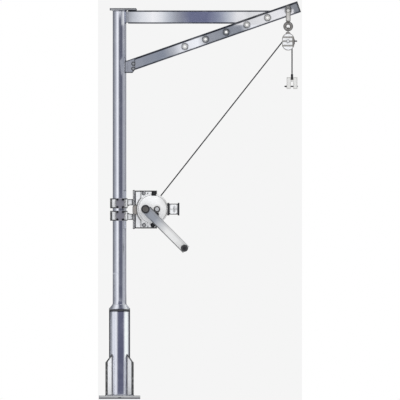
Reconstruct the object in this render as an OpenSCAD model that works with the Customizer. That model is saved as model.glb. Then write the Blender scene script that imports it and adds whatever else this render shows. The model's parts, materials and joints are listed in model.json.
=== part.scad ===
// Pillar jib crane with a hand winch: a slewing mast stands in a bolted socket,
// an inclined boom under a horizontal tie bar carries a rope block,
// and a geared hand winch is clamped to the mast.
// Millimetres, +Z up, origin at the centre of the base plate's underside.
// The boom points along +X and the winch crank is on the -Y side.

/* [Pedestal] */
// Side of the square base plate
base_side = 250; // [220:5:300]
// Thickness of the base plate
base_thickness = 20; // [15:1:25]
// Distance between neighbouring anchor holes
anchor_spacing = 200; // [180:5:230]
// Diameter of an anchor hole
anchor_hole_d = 18; // [12:1:22]
// Outer diameter of the socket tube
socket_d = 127; // [120:1:135]
// Wall of the socket tube
socket_wall = 6; // [4:0.5:8]
// Height of the socket tube's top edge
socket_top = 530; // [450:10:650]
// Radial reach of a gusset from the mast axis
gusset_reach = 117; // [105:1:125]
// Height of a gusset's outer edge
gusset_low = 219; // [150:1:240]
// Height at which a gusset meets the socket tube
gusset_high = 269; // [245:1:300]
// Thickness of a gusset
gusset_thickness = 8; // [6:1:12]

/* [Mast] */
// Outer diameter of the mast tube
mast_d = 82.5; // [80:0.5:85]
// Wall of the mast tube
mast_wall = 5; // [3:0.5:6]
// Height of the mast tube's top edge
mast_top = 2342; // [2200:1:2400]
// Thickness of the cap plate on the mast
cap_thickness = 14; // [8:1:16]
// Depth of the horizontal top bar
top_bar_h = 80; // [60:5:90]
// Width of the top bar and of the boom
bar_width = 50; // [40:5:60]
// Wall of the top bar
top_bar_wall = 3; // [2:0.5:5]

/* [Boom] */
// Height at which the boom's centre line crosses the mast axis
boom_root_z = 1987; // [1950:1:2000]
// Slope of the boom above the horizontal, in degrees
boom_angle = 19.25; // [18:0.25:20]
// Length of the boom's centre line from the mast axis to the tip
boom_length = 1147; // [1130:1:1200]
// Depth of the boom section
boom_h = 70; // [60:5:80]
// Wall of the boom
boom_wall = 4; // [3:0.5:5]
// Number of cross holes for the hanger pin
hanger_holes = 6; // [2:1:6]
// Distance between cross holes along the boom
hanger_pitch = 132; // [100:1:132]
// Diameter of the hanger pin
hanger_pin_d = 16; // [12:1:18]

/* [Rope and block] */
// Diameter of the wire rope
rope_d = 8; // [6:0.5:8]
// Radius of the rope's centre line on the sheave
sheave_pitch_r = 24; // [22:1:28]
// Height of the sheave axis
sheave_z = 2157; // [2150:1:2165]
// Height of the clevis pin in the end fitting
clevis_pin_z = 1884; // [1850:1:1890]

/* [Winch] */
// Height of the crank shaft and of the drum shaft
winch_z = 1144; // [1100:1:1200]
// Distance of the crank shaft from the mast axis
crank_x = 156; // [150:1:165]
// Distance between the crank shaft and the grip
crank_throw = 333; // [250:1:340]
// Width of the crank arm
crank_arm_w = 54; // [40:1:56]
// Angle of the crank arm below the horizontal at rest, in degrees
crank_rest_angle = 45; // [0:1:90]
// Length of the grip
grip_length = 125; // [100:1:140]
// Diameter of the grip
grip_d = 44; // [32:1:46]

/* [Hidden] */
// the gear pair's ratio is fixed, as it sets how far the rope runs for each turn of the crank
gear_module = 2;
pinion_teeth = 14;
gear_teeth = 56;
pressure_angle = 25;
tooth_play = 0.15;           // taken off each tooth's thickness

$fn = 96;
slip = 0.06;                 // radial running fit of a shaft in its bore
cut = 1;                     // how far a cutting shape runs past a face

mast_r = mast_d / 2;
socket_r = socket_d / 2;
rope_r = rope_d / 2;

// pedestal
base_corner_r = 8;
drain_r = 12;
bush_fit = 0.1;              // radial clearance between the mast and its nylon bushes
bush_flange = 9;             // height of the top bush's flange above the socket
thrust_pad = 8;              // nylon under the mast's lower end
mast_foot = base_thickness + thrust_pad;
collar_gap = 2;              // rain collar above the top bush
collar_h = 28;

// top bar and boom
top_bar_corner = 8;
boom_corner = 7;
boom_half = boom_h / 2 / cos(boom_angle);          // half depth measured straight up
hanger_last = 1077;                                // last cross hole along the boom
hanger_x = hanger_last * cos(boom_angle);
hanger_z = boom_line(hanger_x);
bush_r = 17;
bush_proud = 3;
bush_half = bar_width / 2 + bush_proud;
end_cap_t = 4;
bracket_bolt_x = 83;
bracket_bolt_z = [1991, 2021];

// hanger and block, from the boom down
strap_w = 28;
strap_t = 5;
strap_gap = 0.5;
strap_in = bush_half + strap_gap;
stirrup_low = hanger_z - 66;
ring_R = 20;
ring_r = 9.5;
ring_z = stirrup_low - ring_R - ring_r - 1;
block_loop_R = 13.5;
block_loop_r = 3.5;
link_play = 0.1;
block_loop_z = ring_z - ring_R + ring_r + link_play - block_loop_R + block_loop_r;
sheave_x = hanger_x - 1;
sheave_w = 14;
sheave_r = 31;
cheek_in = 10;
cheek_t = 5;
cheek_w = 74;
cheek_h = 105;
cheek_z = sheave_z - 4;
axle_r = 6;
axle_washer_r = 10;

// hoist rope: tangent to the drum's upper left and to the sheave's left
drum_x = crank_x + gear_module * (pinion_teeth + gear_teeth) / 2;
layer_step = rope_d * 0.867;
core_r = 21;
layer_1_r = core_r + rope_r;
drum_pitch_r = layer_1_r + layer_step;
rope_dx = sheave_x - drum_x;
rope_dz = sheave_z - winch_z;
rope_span = norm([rope_dx, rope_dz]);
rope_turn = asin((drum_pitch_r - sheave_pitch_r) / rope_span);
rope_angle = atan2(rope_dz, rope_dx) + rope_turn;
rope_length = rope_span * cos(rope_turn);
fall_x = sheave_x + sheave_pitch_r;

// end fitting on the rope
clevis_w = 64;
clevis_t = 22;
clevis_gap = 16;
clevis_low = clevis_pin_z - 15;
clevis_high = clevis_pin_z + 55;
bridge_low = clevis_pin_z + 28;
bridge_high = clevis_pin_z + 40;
ferrule_high = clevis_pin_z + 73;
ferrule_r = 7;

// winch, by distance from the rope plane
side_in = 45;
side_t = 5;
side_out = side_in + side_t;
flange_in = 35.5;
flange_t = 4.5;
flange_r = 46;
turn_pitch = rope_d + 0.2;
layer_1_turns = 8;
layer_2_turns = 3;
frame_x0 = 91;
frame_x1 = 226;
frame_z0 = 1027;
frame_z1 = 1256;
cover_x = 199;
cover_r = 94;
cover_front = 80;
cover_wall = 3;
cover_ear_r = 13;
cover_rim = 8;               // sloping rim of the gear cover
short_ties = [[146, 1240], [148, 1048]];
long_ties = [[207, 1239], [200, 1047]];
gear_in = 57;
gear_w = 15;
ratchet_r = 21;
ratchet_teeth = 12;
ratchet_in = cover_front + 5;
ratchet_out = ratchet_in + 6;
crank_shaft_r = 9;
drum_shaft_r = 12;
arm_t = 22;
arm_in = 100;
arm_out = arm_in + arm_t;
hub_r = 26;
hub_in = arm_in - 2;
hub_out = 132;
grip_x = crank_x + crank_throw * cos(crank_rest_angle);
grip_z = winch_z - crank_throw * sin(crank_rest_angle);
spindle_r = 6;
clamp_r = 57;
clamp_h = 60;
clamp_fit = 0.05;
clamp_z = [1074, 1149];      // lower edges of the two mast clamps
jaw_left = -20;
jaw_right = 28;
jaw_front = 84;

steel = [0.62, 0.64, 0.70];
zinc = [0.86, 0.87, 0.89];
dark = [0.16, 0.16, 0.18];
nylon = [0.13, 0.14, 0.16];
wire = [0.30, 0.31, 0.33];

// height of the boom's centre line above the point x on the base
function boom_line(x) = boom_root_z + x * tan(boom_angle);

// a cylinder along Y between y0 and y1
module shaft(r, x, z, y0, y1) {
    translate([x, y1, z]) rotate([90, 0, 0]) cylinder(r = r, h = y1 - y0);
}

// a flat outline in the XZ plane, extruded between y0 and y1
module slab(y0, y1) {
    translate([0, y1, 0]) rotate([90, 0, 0]) linear_extrude(y1 - y0) children();
}

// an upright tube
module tube(r, wall, z0, z1) {
    translate([0, 0, z0]) difference() {
        cylinder(r = r, h = z1 - z0);
        translate([0, 0, -cut]) cylinder(r = r - wall, h = z1 - z0 + 2 * cut);
    }
}

// everything drawn along +X inside lies along the boom's centre line
module along_boom() {
    translate([0, 0, boom_root_z]) rotate([0, -boom_angle, 0]) children();
}

// a ring of round wire about the Y axis
module y_ring(R, r, x, y, z, turn = 360, start = 0) {
    translate([x, y, z]) rotate([90, -start, 0])
        rotate_extrude(angle = turn) translate([R, 0]) circle(r = r, $fn = 32);
}

module rounded_rect(w, h, r) {
    square([w - 2 * r, h], center = true);
    square([w, h - 2 * r], center = true);
    for (x = [-1, 1], y = [-1, 1])
        translate([x * (w / 2 - r), y * (h / 2 - r)]) circle(r = r);
}

// a rectangular hollow section along +X
module hollow_bar(length, w, h, wall, r) {
    rotate([90, 0, 90]) linear_extrude(length) difference() {
        rounded_rect(w, h, r);
        rounded_rect(w - 2 * wall, h - 2 * wall, r - wall);
    }
}

// a hexagon head or nut along Y from the face y0 to y1, chamfered at y1
module hex(r, x, z, y0, y1) {
    height = abs(y1 - y0);
    flat = 0.9 * r;
    translate([x, y0, z]) rotate([y1 < y0 ? 90 : -90, 0, 0]) intersection() {
        cylinder(r = r, h = height, $fn = 6);
        cylinder(r1 = flat + height, r2 = flat, h = height);
    }
}

// ---- pedestal ----

module base_plate() {
    notch_w = 16;
    notch_h = 9;
    notch_l = 40;
    color(steel) difference() {
        linear_extrude(base_thickness) rounded_rect(base_side, base_side, base_corner_r);
        for (x = [-1, 1], y = [-1, 1])
            translate([x * anchor_spacing / 2, y * anchor_spacing / 2, -cut])
                cylinder(d = anchor_hole_d, h = base_thickness + 2 * cut);
        for (y = [-1, 1])
            translate([-notch_w / 2, y * (base_side - notch_l) / 2 - notch_l / 2 + y * cut, -cut])
                cube([notch_w, notch_l, notch_h + cut]);
    }
}

module gusset(turn) {
    color(zinc) rotate([0, 0, turn]) slab(-gusset_thickness / 2, gusset_thickness / 2)
        polygon([
            [socket_r, base_thickness],
            [gusset_reach, base_thickness],
            [gusset_reach, gusset_low],
            [socket_r, gusset_high],
        ]);
}

module gusset_front_left() { gusset(225); }
module gusset_front_right() { gusset(315); }
module gusset_back_left() { gusset(135); }
module gusset_back_right() { gusset(45); }

module socket_tube() {
    color(steel) tube(socket_r, socket_wall, base_thickness, socket_top);
}

module bottom_bush() {
    bush_top = base_thickness + 60;
    color(nylon) translate([0, 0, base_thickness]) difference() {
        cylinder(r = socket_r - socket_wall, h = bush_top - base_thickness);
        translate([0, 0, thrust_pad]) cylinder(r = mast_r + bush_fit, h = bush_top);
        translate([0, 0, -cut]) cylinder(r = drain_r, h = thrust_pad + 2 * cut);
    }
}

module top_bush() {
    color(nylon) difference() {
        union() {
            translate([0, 0, socket_top - 60]) cylinder(r = socket_r - socket_wall, h = 60);
            translate([0, 0, socket_top]) cylinder(r = socket_r, h = bush_flange);
        }
        translate([0, 0, socket_top - 60 - cut]) cylinder(r = mast_r + bush_fit, h = 80);
    }
}

// ---- mast and boom ----

module mast_tube() {
    color(steel) tube(mast_r, mast_wall, mast_foot, mast_top);
}

module rain_collar() {
    low = socket_top + bush_flange + collar_gap;
    color(steel) difference() {
        union() {
            translate([0, 0, low]) cylinder(r = socket_r, h = 3);
            translate([0, 0, low + 3]) cylinder(r1 = socket_r, r2 = mast_r + 2, h = collar_h - 3);
        }
        translate([0, 0, low - cut]) cylinder(r = mast_r, h = collar_h + 2 * cut);
    }
}

module cap_plate() {
    cap_left = -59;
    cap_right = 104;
    cap_half = 48;
    color(steel) difference() {
        translate([cap_left, -cap_half, mast_top])
            cube([cap_right - cap_left, 2 * cap_half, cap_thickness]);
        translate([cap_right, 0, mast_top + cap_thickness])
            rotate([0, 45, 0]) cube([8, 2 * cap_half + 2 * cut, 8], center = true);
    }
}

module top_bar() {
    low = mast_top - top_bar_h;
    start = 51;
    end_plate = 6;
    lug_w = 32;
    lug_h = top_bar_h - 12;
    weld_gap = 0.1;
    long = boom_length;
    color(steel) {
        difference() {
            translate([start, 0, mast_top - top_bar_h / 2]) union() {
                hollow_bar(long, bar_width, top_bar_h, top_bar_wall, top_bar_corner);
                rotate([90, 0, 90]) linear_extrude(end_plate) rounded_rect(bar_width, top_bar_h, top_bar_corner);
            }
            along_boom() translate([0, -bar_width, boom_h / 2 + weld_gap - boom_length])
                cube([2 * boom_length, 2 * bar_width, boom_length]);
        }
        difference() {
            translate([mast_r / 2, -lug_w / 2, low + (top_bar_h - lug_h) / 2])
                cube([start - mast_r / 2, lug_w, lug_h]);
            translate([0, 0, low]) cylinder(r = mast_r, h = top_bar_h);
        }
    }
}

module boom_bracket() {
    low = 1965;
    lug_x = 47;
    right = 94;
    cheek = 6;
    half = bar_width / 2;
    color(steel) difference() {
        union() {
            for (y0 = [-half - cheek, half])
                slab(y0, y0 + cheek) polygon([
                    [20, low],
                    [right - 16, low],
                    [right, low + 20],
                    [right, boom_line(right) + boom_half],
                    [20, boom_line(20) + boom_half],
                ]);
            slab(-half, half) polygon([
                [20, low],
                [lug_x, low],
                [lug_x, boom_line(lug_x) + boom_half],
                [20, boom_line(20) + boom_half],
            ]);
        }
        translate([0, 0, low - cut]) cylinder(r = mast_r, h = 200);
        for (z = bracket_bolt_z)
            shaft(6, bracket_bolt_x, z, -half - cheek - cut, half + cheek + cut);
    }
}

module bracket_bolts() {
    reach = bar_width / 2 + 6;
    color(zinc) for (z = bracket_bolt_z) {
        shaft(5.9, bracket_bolt_x, z, -reach - 1, reach + 14);
        hex(10, bracket_bolt_x, z, -reach, -reach - 8);
        hex(10, bracket_bolt_x, z, reach, reach + 10);
    }
}

module boom() {
    left = 47;
    half = bar_width / 2;
    color(steel) difference() {
        along_boom() difference() {
            hollow_bar(boom_length - end_cap_t, bar_width, boom_h, boom_wall, boom_corner);
            for (i = [0 : hanger_holes - 1])
                shaft(bush_r, hanger_last - i * hanger_pitch, 0, -half - cut, half + cut);
        }
        translate([left - boom_h, -half - cut, boom_root_z - 2 * boom_h])
            cube([boom_h, bar_width + 2 * cut, 4 * boom_h]);
        for (z = bracket_bolt_z) shaft(6, bracket_bolt_x, z, -half - cut, half + cut);
    }
}

module boom_bushes() {
    color(zinc) along_boom() for (i = [0 : hanger_holes - 1]) {
        x = hanger_last - i * hanger_pitch;
        difference() {
            shaft(bush_r, x, 0, -bush_half, bush_half);
            shaft(hanger_pin_d / 2 + 0.3, x, 0, -bush_half - cut, bush_half + cut);
        }
    }
}

module boom_end_cap() {
    plug = 12;
    color(dark) along_boom() {
        translate([boom_length - end_cap_t, 0, 0]) rotate([90, 0, 90])
            linear_extrude(end_cap_t) rounded_rect(bar_width, boom_h, boom_corner);
        translate([boom_length - end_cap_t - plug, 0, 0]) rotate([90, 0, 90]) linear_extrude(plug)
            rounded_rect(bar_width - 2 * boom_wall, boom_h - 2 * boom_wall, boom_corner - boom_wall);
    }
}

// ---- hanger and block ----

module hanger_stirrup() {
    out = strap_in + strap_t;
    high = boom_line(hanger_x - strap_w / 2) + boom_half;
    color(zinc) difference() {
        translate([hanger_x - strap_w / 2, -out, stirrup_low]) cube([strap_w, 2 * out, high - stirrup_low]);
        translate([hanger_x - strap_w, -strap_in, stirrup_low + strap_t + 1])
            cube([2 * strap_w, 2 * strap_in, high]);
        shaft(hanger_pin_d / 2 + 0.3, hanger_x, hanger_z, -out - cut, out + cut);
        translate([hanger_x, 0, stirrup_low - cut]) cylinder(r = axle_r, h = 10);
    }
}

module hanger_pin() {
    out = strap_in + strap_t;
    color(zinc) {
        shaft(hanger_pin_d / 2, hanger_x, hanger_z, -out - 1, out + 12);
        shaft(hanger_pin_d / 2 + 4, hanger_x, hanger_z, -out - 6, -out);
    }
}

module eye_bolt() {
    nut_z = stirrup_low + strap_t + 1;
    collar_z = ring_z + ring_R + ring_r - 2;
    stem_r = axle_r - 0.1;
    color(zinc) {
        y_ring(ring_R, ring_r, hanger_x, 0, ring_z);
        translate([hanger_x, 0, ring_z + ring_R]) cylinder(r = stem_r, h = nut_z + 16 - ring_z - ring_R);
        translate([hanger_x, 0, nut_z]) cylinder(r = 11, h = 10, $fn = 6);
        translate([hanger_x, 0, collar_z]) cylinder(r = 11, h = stirrup_low - collar_z);
    }
}

module block_eye() {
    head_low = sheave_z + sheave_r + 3;
    neck_half = 12.5;
    neck_depth = 2 * cheek_in - 1;
    neck_top = block_loop_z - block_loop_R;
    color(zinc) {
        translate([sheave_x, 0, block_loop_z]) rotate([0, 90, 0])
            rotate_extrude() translate([block_loop_R, 0]) circle(r = block_loop_r, $fn = 32);
        translate([sheave_x - neck_half, -neck_depth / 2, head_low + 10])
            cube([2 * neck_half, neck_depth, neck_top - head_low - 10]);
        translate([sheave_x - 15, -cheek_in, head_low]) cube([30, 2 * cheek_in, 14]);
    }
}

module cheek_outline() {
    lift = (cheek_h - cheek_w) / 2;
    for (s = [-1, 1]) translate([sheave_x + 1, cheek_z + s * lift]) circle(d = cheek_w);
    translate([sheave_x + 1 - cheek_w / 2, cheek_z - lift]) square([cheek_w, 2 * lift]);
}

module block_cheek(y0) {
    color(zinc) difference() {
        slab(y0, y0 + cheek_t) cheek_outline();
        shaft(axle_r, sheave_x, sheave_z, y0 - cut, y0 + cheek_t + cut);
    }
}

module block_front() { block_cheek(-cheek_in - cheek_t); }
module block_back() { block_cheek(cheek_in); }

// flat bars across both cheeks
module block_ribs() {
    rib_t = 3;
    rib_h = 8;
    rib_l = 66;
    face = cheek_in + cheek_t;
    color(steel) difference() {
        for (y0 = [-face - rib_t, face], dz = [-27, 0, 24])
            translate([sheave_x + 1 - rib_l / 2, y0, sheave_z + dz - rib_h / 2]) cube([rib_l, rib_t, rib_h]);
        shaft(axle_washer_r, sheave_x, sheave_z, -face - rib_t - cut, face + rib_t + cut);
    }
}

// a strap that closes the block's open side, with a short keeper stud
module block_side() {
    edge = sheave_x + 1 + cheek_w / 2;
    half = 15;
    color(steel) {
        translate([edge - 2, -cheek_in, cheek_z - half]) cube([2, 2 * cheek_in, 2 * half]);
        translate([edge, -cheek_in - cheek_t, cheek_z - half]) cube([3, 2 * (cheek_in + cheek_t), 2 * half]);
        translate([edge + 3, 0, sheave_z]) rotate([0, 90, 0]) cylinder(r = 4, h = 14);
    }
}

module block_axle() {
    face = cheek_in + cheek_t;
    color(zinc) {
        shaft(axle_r - 0.05, sheave_x, sheave_z, -face - 4, face + 10);
        shaft(axle_washer_r - 0.1, sheave_x, sheave_z, -face - 6, -face);
        hex(axle_washer_r - 0.1, sheave_x, sheave_z, face, face + 7);
    }
}

module sheave() {
    groove = sheave_pitch_r;
    groove_r = rope_r + 0.3;
    mouth = 12;
    color(steel) translate([sheave_x, 0, sheave_z]) rotate([90, 0, 0]) rotate_extrude() difference() {
        translate([axle_r, -sheave_w / 2]) square([sheave_r - axle_r, sheave_w]);
        translate([groove, 0]) circle(r = groove_r, $fn = 48);
        polygon([
            [groove, -groove_r], [sheave_r + cut, -mouth / 2], [sheave_r + cut, mouth / 2], [groove, groove_r],
        ]);
    }
}

// ---- winch frame on the mast ----

// one clamp block, open at the front for its jaw; its arm is drawn by its outline in the XZ plane
module mast_clamp(z0, arm) {
    chamfer = 11;
    arm_half = 30;
    right = 48;
    color(zinc) difference() {
        union() {
            translate([0, 0, z0]) linear_extrude(clamp_h) polygon([
                [-clamp_r, chamfer - clamp_r],
                [chamfer - clamp_r, -clamp_r],
                [right - chamfer, -clamp_r],
                [right, chamfer - clamp_r],
                [right, clamp_r - chamfer],
                [right - chamfer, clamp_r],
                [chamfer - clamp_r, clamp_r],
                [-clamp_r, clamp_r - chamfer],
            ]);
            slab(-arm_half, arm_half) polygon(arm);
        }
        translate([0, 0, z0 - cut]) cylinder(r = mast_r + clamp_fit, h = clamp_h + 2 * cut);
        translate([jaw_left - 0.1, -jaw_front, z0 - cut])
            cube([jaw_right - jaw_left + 0.2, jaw_front, clamp_h + 2 * cut]);
    }
}

arm_h = 37;
arm_foot = 30;               // where an arm starts inside its ring
arm_thin = 62;               // where its taper ends
arm_end = 80;

module clamp_upper() {
    low = clamp_z[1];
    high = 1204;
    mast_clamp(low, [
        [arm_foot, low], [arm_thin, high - arm_h], [arm_end, high - arm_h], [arm_end, high], [arm_foot, high],
    ]);
}

module clamp_lower() {
    high = clamp_z[0] + clamp_h;
    low = 1079;
    mast_clamp(clamp_z[0], [
        [arm_foot, low], [arm_end, low], [arm_end, low + arm_h], [arm_thin, low + arm_h], [arm_foot, high],
    ]);
}

screw_inset = 7;
jaw_screws = [
    for (x = [jaw_left + screw_inset, jaw_right - screw_inset], z = [screw_inset, clamp_h - screw_inset]) [x, z]
];

// the two blocks that press on the mast through the clamps' open fronts
module clamp_jaws() {
    color(steel) for (z0 = clamp_z) difference() {
        translate([jaw_left, -jaw_front, z0]) cube([jaw_right - jaw_left, jaw_front - 18, clamp_h]);
        translate([0, 0, z0 - cut]) cylinder(r = mast_r + clamp_fit, h = clamp_h + 2 * cut);
        for (p = jaw_screws) shaft(4.1, p[0], z0 + p[1], -jaw_front - cut, -clamp_r);
    }
}

module clamp_bolts() {
    head_r = 6.5;
    socket_key_r = 3;
    color(dark) for (z0 = clamp_z, p = jaw_screws) {
        shaft(4, p[0], z0 + p[1], -jaw_front - 2, -clamp_r - 6);
        difference() {
            shaft(head_r, p[0], z0 + p[1], -jaw_front - 8, -jaw_front);
            shaft(socket_key_r, p[0], z0 + p[1], -jaw_front - 8 - cut, -jaw_front - 4, $fn = 6);
        }
    }
}

module winch_back_plate() {
    color(zinc) translate([80, -side_out, frame_z0 - 3])
        cube([frame_x0 - 80, 2 * side_out, frame_z1 - frame_z0 + 6]);
}

module side_outline() {
    translate([frame_x0, frame_z0]) square([frame_x1 - frame_x0, frame_z1 - frame_z0]);
    translate([cover_x, winch_z]) circle(r = cover_r - 4);
}

module winch_side(y0, tab) {
    color(zinc) difference() {
        slab(y0, y0 + side_t) {
            side_outline();
            if (tab) translate([frame_x1, winch_z - 22]) square([125, 44]);
        }
        shaft(crank_shaft_r + slip, crank_x, winch_z, y0 - cut, y0 + side_t + cut);
        shaft(drum_shaft_r + slip, drum_x, winch_z, y0 - cut, y0 + side_t + cut);
        for (p = concat(short_ties, long_ties)) shaft(5, p[0], p[1], y0 - cut, y0 + side_t + cut);
    }
}

module winch_side_front() { winch_side(-side_out, true); }
module winch_side_back() { winch_side(side_in, false); }

// strips along the frame's rear edge on both side plates, cut back round the gear cover
module winch_stiffeners() {
    w = 40;
    t = 4;
    color(zinc) for (y0 = [-side_out - t, side_out]) slab(y0, y0 + t) difference() {
        translate([frame_x0, frame_z0]) square([w, frame_z1 - frame_z0]);
        translate([cover_x, winch_z]) circle(r = cover_r + 1);
    }
}

module tie(place, front) {
    x = place[0];
    z = place[1];
    shaft(9, x, z, -side_in, side_in);
    shaft(4.9, x, z, -front - 4, side_out + 4);
    hex(9, x, z, -front, -front - 6);
    hex(9, x, z, side_out, side_out + 6);
}

module winch_spacers() {
    color(zinc) for (p = short_ties) tie(p, side_out);
}

// the two ties that reach out through the gear cover's ears, the upper one with a square plate
module cover_bolts() {
    plate = 28;
    plate_t = 2;
    color(dark) {
        for (p = long_ties) tie(p, cover_front);
        translate([long_ties[0][0] - plate / 2, -cover_front - plate_t, long_ties[0][1] - plate / 2])
            cube([plate, plate_t, plate]);
    }
}

module gear_cover() {
    depth = cover_front - side_out;
    color(zinc) difference() {
        union() {
            translate([cover_x, -side_out, winch_z]) rotate([90, 0, 0]) rotate_extrude() polygon([
                [0, 0],
                [cover_r, 0],
                [cover_r, depth - cover_rim],
                [cover_r - cover_rim, depth],
                [0, depth],
            ]);
            for (p = long_ties) shaft(cover_ear_r, p[0], p[1], -cover_front, -side_out);
        }
        translate([cover_x, -side_out + cut, winch_z]) rotate([90, 0, 0]) rotate_extrude() polygon([
            [0, 0],
            [cover_r - cover_wall, 0],
            [cover_r - cover_wall, depth + cut - cover_rim - cover_wall / 2],
            [cover_r - cover_rim - cover_wall / 2, depth + cut - cover_wall],
            [0, depth + cut - cover_wall],
        ]);
        shaft(crank_shaft_r + 1, crank_x, winch_z, -cover_front - cut, -side_out);
        shaft(drum_shaft_r + 1, drum_x, winch_z, -cover_front - cut, -side_out);
        for (p = long_ties) shaft(5, p[0], p[1], -cover_front - cut, -side_out + cut);
    }
}

// a closed case beside the gear cover, between two dark end plates
case_x = [300, 351];
case_h = 66;

module side_box() {
    slot_x = 330;
    color(zinc) {
        translate([case_x[0], -cover_front, winch_z - case_h / 2])
            cube([case_x[1] - case_x[0], cover_front - side_out, case_h]);
        translate([slot_x - 3, -cover_front - 3, winch_z - 16]) cube([6, 4, 32]);
        translate([case_x[0], -cover_front - 2, winch_z - 2]) cube([case_x[1] - case_x[0], 3, 4]);
    }
}

module side_box_ends() {
    end_h = 76;
    near_end = case_x[0] - 12;
    far_t = 10;
    face = cover_front + 2;
    color(dark) {
        difference() {
            translate([near_end, -face, winch_z - end_h / 2]) cube([12, face - side_out, end_h]);
            shaft(cover_r + 0.1, cover_x, winch_z, -face - cut, -side_out + cut);
        }
        translate([case_x[1], -face, winch_z - end_h / 2]) cube([far_t, face - side_out, end_h]);
    }
}

// stops on the frame's rear edge, cut back round the gear cover
module frame_pads() {
    w = 34;
    h = 58;
    t = 8;
    face = side_out + 4;
    color(dark) for (y0 = [-face - t, face]) slab(y0, y0 + t) difference() {
        translate([frame_x0 + 4, winch_z - 4]) union() {
            for (side = [-1, 1]) translate([0, side * (h - w) / 2]) circle(d = w);
            square([w, h - w], center = true);
        }
        translate([cover_x, winch_z]) circle(r = cover_r + 1);
    }
}

// the ratchet's pawl, just off its wheel, on a pin in the gear cover
module pawl() {
    pivot = [184, 1150];
    tip = [223, 1112];
    reach = tip - pivot;
    color(dark) {
        slab(-ratchet_out, -ratchet_in) difference() {
            union() {
                translate(pivot) circle(r = 8);
                translate(tip) circle(r = 15);
                translate(pivot) rotate([0, 0, atan2(reach[1], reach[0])])
                    translate([0, -6]) square([norm(reach), 12]);
            }
            translate([drum_x, winch_z]) circle(r = ratchet_r + 1);
        }
        shaft(4, pivot[0], pivot[1], -ratchet_in, -cover_front);
    }
}

// ---- crank ----

module crank_shaft() {
    washer_r = 17;
    collar_r = 14;
    color(zinc) {
        shaft(crank_shaft_r, crank_x, winch_z, -hub_out, side_out + 8);
        shaft(washer_r, crank_x, winch_z, -hub_out - 4, -hub_out);
        hex(crank_shaft_r, crank_x, winch_z, -hub_out - 4, -hub_out - 9);
        shaft(collar_r, crank_x, winch_z, side_out + 1, side_out + 9);
    }
}

module crank_hub() {
    color(dark) difference() {
        shaft(hub_r, crank_x, winch_z, -hub_out, -hub_in);
        shaft(crank_shaft_r, crank_x, winch_z, -hub_out - cut, -hub_in + cut);
    }
}

// ---- gears ----

// the involute function of an angle, in degrees
function involute(a) = tan(a) * 180 / PI - a;

// half the angle that a tooth spans at radius r, on a gear of n teeth
function half_tooth(n, r) =
    let (pitch_r = gear_module * n / 2)
    let (base_r = pitch_r * cos(pressure_angle))
    let (at_pitch = 90 / n - tooth_play / 2 / pitch_r * 180 / PI)
    at_pitch + involute(pressure_angle) - involute(acos(min(1, base_r / r)));

// the outline of a spur gear of n teeth, with one tooth centred on +X and then turned
module gear_outline(n, turn = 0) {
    steps = 5;
    root_r = gear_module * (n / 2 - 1.25);
    tip_r = gear_module * (n / 2 + 1);
    radii = [for (k = [0 : steps]) root_r + (tip_r - root_r) * k / steps];
    rotate(turn) polygon([
        for (tooth = [0 : n - 1], side = [-1, 1], k = [0 : steps])
            let (r = radii[side < 0 ? k : steps - k])
            let (a = tooth * 360 / n + side * half_tooth(n, r))
            [r * cos(a), r * sin(a)]
    ]);
}

module pinion() {
    over = 1;
    color(steel) difference() {
        slab(-gear_in - gear_w - over, -gear_in + over)
            translate([crank_x, winch_z]) gear_outline(pinion_teeth);
        shaft(crank_shaft_r, crank_x, winch_z, -gear_in - gear_w - over - cut, -gear_in + over + cut);
    }
}

module drum_gear() {
    color(steel) difference() {
        slab(-gear_in - gear_w, -gear_in)
            translate([drum_x, winch_z]) gear_outline(gear_teeth, 180 / gear_teeth);
        shaft(drum_shaft_r, drum_x, winch_z, -gear_in - gear_w - cut, -gear_in + cut);
    }
}

// a saw-toothed wheel on the drum shaft's outer end
module ratchet() {
    root_r = ratchet_r - 4;
    step = 360 / ratchet_teeth;
    color(zinc) difference() {
        slab(-ratchet_out, -ratchet_in) translate([drum_x, winch_z]) polygon([
            for (i = [0 : ratchet_teeth - 1], r = [root_r, ratchet_r])
                let (a = (r == root_r ? i : i + 0.85) * step)
                [r * cos(a), r * sin(a)]
        ]);
        shaft(drum_shaft_r, drum_x, winch_z, -ratchet_out - cut, -ratchet_in + cut);
    }
}

module crank_arm() {
    edge_r = arm_t / 2;
    start = hub_r;
    color(steel) difference() {
        translate([crank_x, 0, winch_z]) rotate([0, crank_rest_angle, 0]) {
            for (s = [-1, 1])
                translate([0, -(arm_in + arm_out) / 2, s * (crank_arm_w / 2 - edge_r)])
                    rotate([0, 90, 0]) cylinder(r = edge_r, h = crank_throw + 14);
            translate([0, -arm_out, -(crank_arm_w / 2 - edge_r)])
                cube([crank_throw + 14, arm_t, crank_arm_w - arm_t]);
        }
        shaft(start + 0.02, crank_x, winch_z, -arm_out - cut, -arm_in + cut);
        shaft(spindle_r, grip_x, grip_z, -arm_out - cut, -arm_in + cut);
    }
}

module grip_spindle() {
    end = arm_out + 1 + grip_length;
    color(zinc) {
        shaft(spindle_r, grip_x, grip_z, -end - 8, -arm_in + 2);
        hex(10, grip_x, grip_z, -arm_in, -arm_in + 5);
        shaft(9, grip_x, grip_z, -end - 6, -end - 1);
    }
}

module crank_grip() {
    y0 = -arm_out - 1 - grip_length;
    color(dark) translate([grip_x, 0, grip_z]) rotate([90, 0, 0]) rotate_extrude() polygon([
        [spindle_r + slip, -y0 - grip_length],
        [grip_d / 2 - 1, -y0 - grip_length],
        [grip_d / 2, -y0 - grip_length + 8],
        [grip_d / 2 - 3, -y0 - grip_length / 2],
        [grip_d / 2, -y0 - 8],
        [grip_d / 2 - 2, -y0],
        [spindle_r + slip, -y0],
    ]);
}

// ---- drum ----

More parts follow.
